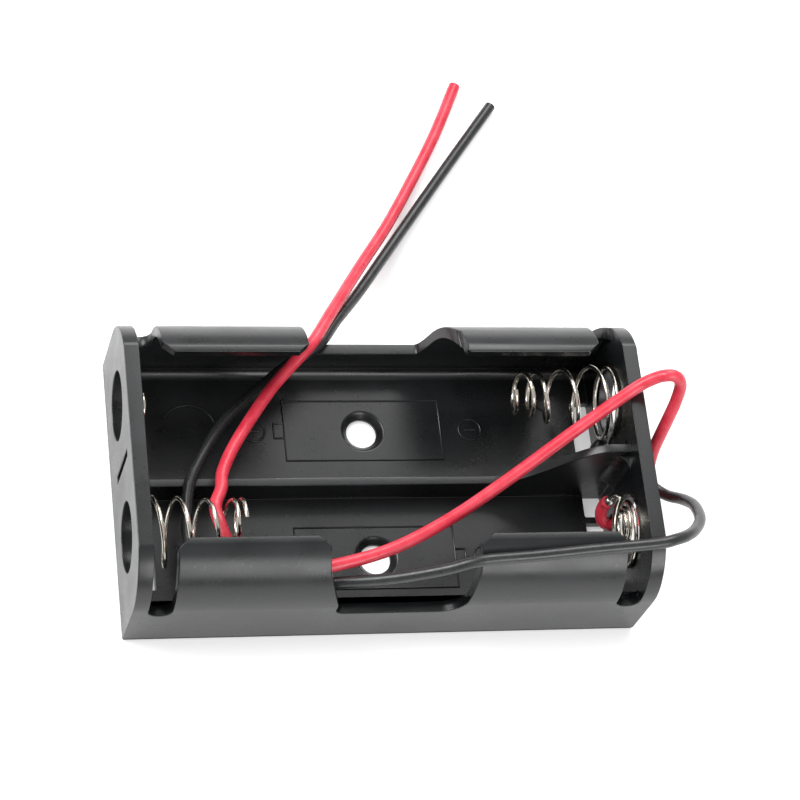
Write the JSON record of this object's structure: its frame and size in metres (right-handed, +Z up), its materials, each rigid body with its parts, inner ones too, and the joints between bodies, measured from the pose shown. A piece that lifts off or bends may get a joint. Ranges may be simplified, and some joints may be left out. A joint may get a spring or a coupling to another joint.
{
  "type": "two-cell battery holder",
  "caption": "Open moulded tray for cylindrical cells laid side by side, with spring wire contacts and a red and a black lead.",
  "frame": {"origin": "centre of the flat underside of the tray", "axes": "+X along the cells, towards the end wall that the leads leave by; +Y across the tray; +Z up out of the open mouth"},
  "size_m": [0.0649, 0.0708, 0.0192],
  "materials": {
    "moulding": "satin black moulded plastic",
    "contact_wire": "nickel-plated steel wire",
    "solder": "tin solder",
    "red_insulation": "soft red PVC",
    "black_insulation": "soft black PVC"
  },
  "bodies": {
    "root": {"tray": "moulding", "link_contact": "contact_wire", "negative_spring": "contact_wire", "positive_button": "contact_wire", "red_joint": "solder", "black_joint": "solder", "red_lead": "red_insulation", "black_lead": "black_insulation"}
  },
  "joints": []
}
